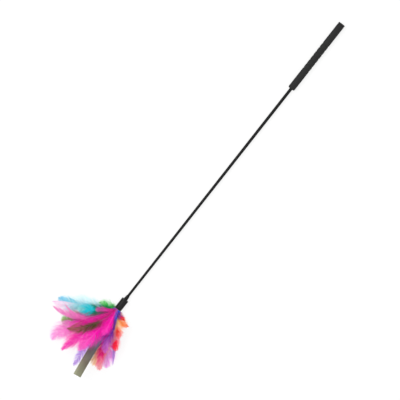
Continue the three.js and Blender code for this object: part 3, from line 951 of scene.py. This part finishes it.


# %% [markdown]
# ## The bunch
# Every feather has its own row. reach is how far its tip is from the mouth, fan the direction in which the
# tip lies, bow how much the shaft bends, half is half the width of the vane, roll how far the vane is
# turned about the shaft, and tip how sharply it ends. Lengths are in millimetres and angles in degrees.
# dyes are the colours of root, body and ends. Whatever else a row says replaces what an ordinary feather
# has. A layer is the name of a body, which is not used here, how fast its first feather climbs, and its
# feathers from the +Y side to the -Y side. The lowest layer comes down just enough to lie on the table.

# %% The feathers, layer by layer from the table up
LAYERS = [
    ("lower_feathers", None, {
        "turquoise": dict(
            reach=83, fan=63, bow=-6, half=6, roll=-5, tip=0.4,
            dyes=((40, 215, 225), (155, 236, 248), (120, 208, 240)),
            opening=1.1, sides=(1.8, 1.15), gap=0.2, loose=1.5,
            pale=0.6, turns=(0, 0.3, 0.75, 0.97)),
        "light_green": dict(
            reach=79, fan=40.5, bow=-1, half=10, roll=-5, tip=0.4,
            dyes=((120, 125, 50), (142, 195, 78), (205, 238, 160)),
            opening=1.5, sides=(1.5, 1.15),
            pale=0.5, turns=(0.68, 0.85, 0.95, 1)),
        "rose": dict(
            reach=82, fan=-26.5, bow=2, half=10, roll=-8, tip=0.4,
            dyes=((235, 30, 215), (255, 84, 250), (255, 205, 252)),
            opening=1.1, loose=0.9,
            pale=0.6, painted_shade=0.2, turns=(0, 0.3, 0.55, 0.9)),
    }),
    ("lower_feathers", 0.05, {
        "pale_pink": dict(
            reach=90, fan=59, bow=2, half=8, roll=2, tip=0.8,
            dyes=((150, 240, 240), (255, 240, 252), (251, 196, 236)),
            opening=4, sides=(1.6, 0.15), root=1.5, loose=0.9, down=20,
            painted_shade=0.3, turns=(0.6, 0.78, 0.9, 1)),
        "magenta_sickle": dict(
            reach=100, fan=27, bow=18, half=12, roll=-4, tip=0.6,
            dyes=((250, 30, 185), (252, 100, 212), (255, 195, 244)),
            opening=3.6, sides=(0.65, 0.92), loose=0.8,
            slot="magenta_dye"),
        "lavender": dict(
            reach=98, fan=0, bow=5, half=5, roll=-1, tip=0.5,
            dyes=((150, 85, 220), (188, 135, 240), (222, 190, 250)),
            sides=(1.6, 1.3), gap=0.2, loose=2.4),
        "orange": dict(
            reach=84, fan=-14.5, bow=1, half=8, roll=-3, tip=0.4,
            dyes=((255, 160, 75), (255, 205, 130), (255, 228, 190)),
            sides=(1.5, 1.1), loose=0.7,
            painted_shade=0.25),
        "purple_spike": dict(
            reach=77, fan=-33, bow=-1, half=3.5, roll=-1, tip=1,
            dyes=((130, 50, 175), (170, 100, 210), (215, 175, 240)),
            slot="purple_dye"),
    }),
    ("lower_feathers", 0.11, {
        "cyan_down": dict(
            reach=63, fan=66, bow=2, half=8, roll=2, tip=0.5,
            dyes=((150, 236, 244), (205, 248, 253), (240, 254, 255)),
            opening=1.5, sides=(0.45, 1), gap=0.36, loose=1.2,
            slot="cyan_dye"),
        "pink_lance": dict(
            reach=89, fan=55, bow=-30, half=4, roll=-3, tip=1,
            dyes=((235, 60, 175), (247, 130, 210), (251, 175, 225)),
            opening=2.2, sides=(0.6, 2.2),
            slot="pink_dye"),
        "fuchsia": dict(
            reach=90, fan=29.5, bow=2, half=11, roll=2, tip=0.5,
            dyes=((250, 25, 185), (252, 90, 210), (255, 190, 240)),
            opening=1.6, sides=(1.3, 0.4),
            pale=0.7, slot="magenta_dye"),
        "magenta_point": dict(
            reach=95, fan=16, bow=1, half=14, roll=-4, tip=1,
            dyes=((252, 5, 175), (255, 15, 192), (255, 100, 212)),
            opening=1.1, sides=(1, 1.6), loose=0.5,
            pale=0.2, slot="magenta_dye"),
        "crimson": dict(
            reach=87, fan=-21.5, bow=9, half=6, roll=2, tip=0.35,
            dyes=((215, 0, 115), (232, 0, 135), (253, 185, 184)),
            opening=0.8, sides=(1, 1.25),
            pale=0.2, turns=(0.0, 0.3, 0.74, 0.97)),
        "red": dict(
            reach=57, fan=-35, bow=-2, half=7, roll=1, tip=0.5,
            dyes=((254, 200, 225), (255, 15, 58), (255, 105, 125)),
            opening=3, sides=(0.75, 1), root=2, down=60,
            pale=0.4, painted_shade=0.35, turns=(0.66, 0.76, 0.86, 1)),
    }),
    ("upper_feathers", 0.42, {
        "green": dict(
            reach=27, fan=72, bow=2, half=7, roll=4, tip=0.5,
            dyes=((15, 175, 50), (40, 205, 75), (165, 240, 165)),
            sides=(0.6, 1.15), root=9, down=420, back=9,
            pale=0.5),
        "teal": dict(
            reach=56, fan=53, bow=1, half=9, roll=-4, tip=0.5,
            dyes=((0, 125, 75), (0, 220, 232), (185, 234, 228)),
            sides=(1.15, 0.9), root=2,
            pale=0.05, turns=(0.48, 0.6, 0.72, 0.92)),
        "pink_spike": dict(
            reach=72, fan=58, bow=-34, half=3.5, roll=5, tip=1,
            dyes=((238, 70, 175), (246, 110, 200), (250, 170, 220)),
            slot="pink_dye"),
        "violet": dict(
            reach=62, fan=-22, bow=1, half=8, roll=-3, tip=0.5,
            dyes=((110, 35, 180), (150, 40, 190), (226, 120, 214)),
            opening=1, sides=(0.72, 1.3), loose=0.8,
            pale=0.45, turns=(0, 0.25, 0.5, 0.9)),
        "scarlet": dict(
            reach=41, fan=-40.5, bow=2, half=6, roll=2, tip=0.5,
            dyes=((255, 228, 165), (250, 60, 48), (251, 165, 180)),
            opening=1, sides=(1.35, 1), root=1,
            pale=0.5, turns=(0.5, 0.68, 0.8, 1)),
        "orange_spike": dict(
            reach=28, fan=-71, bow=9, half=7, roll=-1, tip=0.8,
            dyes=((255, 210, 125), (255, 160, 85), (248, 105, 75)),
            opening=1.2, root=4, down=180,
            pale=0.5, turns=(0.3, 0.6, 0.7, 1), slot="coral_dye"),
    }),
    ("upper_feathers", 0.65, {
        "pink_crown": dict(
            reach=30, fan=50, bow=2, half=7, roll=2, tip=0.3,
            dyes=((255, 10, 185), (218, 92, 178), (236, 150, 208)),
            opening=1.6, sides=(0.5, 0.55), root=3,
            pale=0.3, painted_shade=0.35, turns=(0.45, 0.68, 0.82, 1), slot="magenta_dye"),
        "magenta_upper": dict(
            reach=68, fan=32, bow=3, half=8.5, roll=-5, tip=0.8,
            dyes=((245, 5, 170), (242, 30, 180), (200, 130, 125)),
            opening=1.4, sides=(1, 0.22),
            pale=0.2, turns=(0, 0.3, 0.68, 0.95), slot="magenta_dye"),
        "magenta_body": dict(
            reach=77, fan=6, bow=0, half=15, roll=-4, tip=0.65,
            dyes=((255, 0, 170), (255, 0, 195), (255, 135, 228)),
            opening=1, sides=(0.8, 1), loose=0.8,
            pale=0.35, slot="magenta_dye"),
        "red_crown": dict(
            reach=18, fan=-70, bow=1, half=6, roll=6, tip=0.6,
            dyes=((40, 70, 205), (240, 30, 45), (248, 95, 95)),
            sides=(0.9, 0.7), root=2.5, bare=5, down=50,
            pale=0.4, turns=(0.34, 0.7, 0.85, 1), slot="scarlet_dye"),
    }),
    ("upper_feathers", 0.88, {
        "olive": dict(
            reach=73, fan=32, bow=-16, half=5.5, roll=4, tip=0.6,
            dyes=((246, 8, 165), (82, 76, 26), (194, 112, 114)),
            opening=1.3, sides=(1.45, 0.75), root=1.5, loose=0.9,
            bars=0.22, turns=(0.3, 0.43, 0.6, 0.85), slot="olive_natural"),
        "magenta_crown": dict(
            reach=40, fan=-9, bow=0, half=8, roll=-4, tip=0.6,
            dyes=((255, 5, 175), (255, 22, 192), (255, 90, 218)),
            opening=1.4, sides=(0.85, 1), root=3.2, down=40,
            pale=0.4, slot="magenta_dye"),
        "blue_violet": dict(
            reach=38, fan=-23.5, bow=-5, half=3.2, roll=-2, tip=0.8,
            dyes=((10, 110, 245), (112, 28, 170), (140, 75, 205)),
            sides=(0.42, 0.56), root=17, down=300,
            pale=0, turns=(0.26, 0.42, 0.7, 1)),
    }),
]

# %% Grow every feather
COMMON_ROLL, RISE_STEP = 8, 0.05
OVER_TABLE, VANE_CUP, HALF_VANE = 0.3, 0.1, 0.21


def lowest_rise(row, reach, half, roll):
    """How fast a feather of the lowest layer comes down to lie almost on the table."""
    edge = half * (abs(math.tan(roll)) + VANE_CUP) + HALF_VANE
    return (OVER_TABLE + edge + FLOOR - row_height(row)) / lift(reach)


faces = 0
for row, (body_name, row_rise, feathers) in enumerate(LAYERS):
    for place, (name, own) in enumerate(feathers.items()):
        spec = {**ORDINARY, **own}
        spec["roll"] = math.radians(COMMON_ROLL + own["roll"])
        sideways = ((len(feathers) - 1) / 2 - place) * PITCH
        if row_rise is None:
            rise = lowest_rise(row, spec["reach"], spec["half"], spec["roll"])
        else:
            rise = row_rise + RISE_STEP * place
        shaft = Shaft(sideways, row_height(row), rise, spec["reach"], spec["fan"], spec["bow"])
        feather = grow(f"{name}_plume", shaft, spec, f"{name} feather")
        material = dye(f"{name}_dye", *(spec[key] for key in ("dyes", "pale", "painted_shade", "bars", "turns")))
        feather.data.materials.append(material)
        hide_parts(f"{name}_feather")
        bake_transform(feather)
        faces += len(feather.data.polygons)
print("feathers have", faces, "faces")
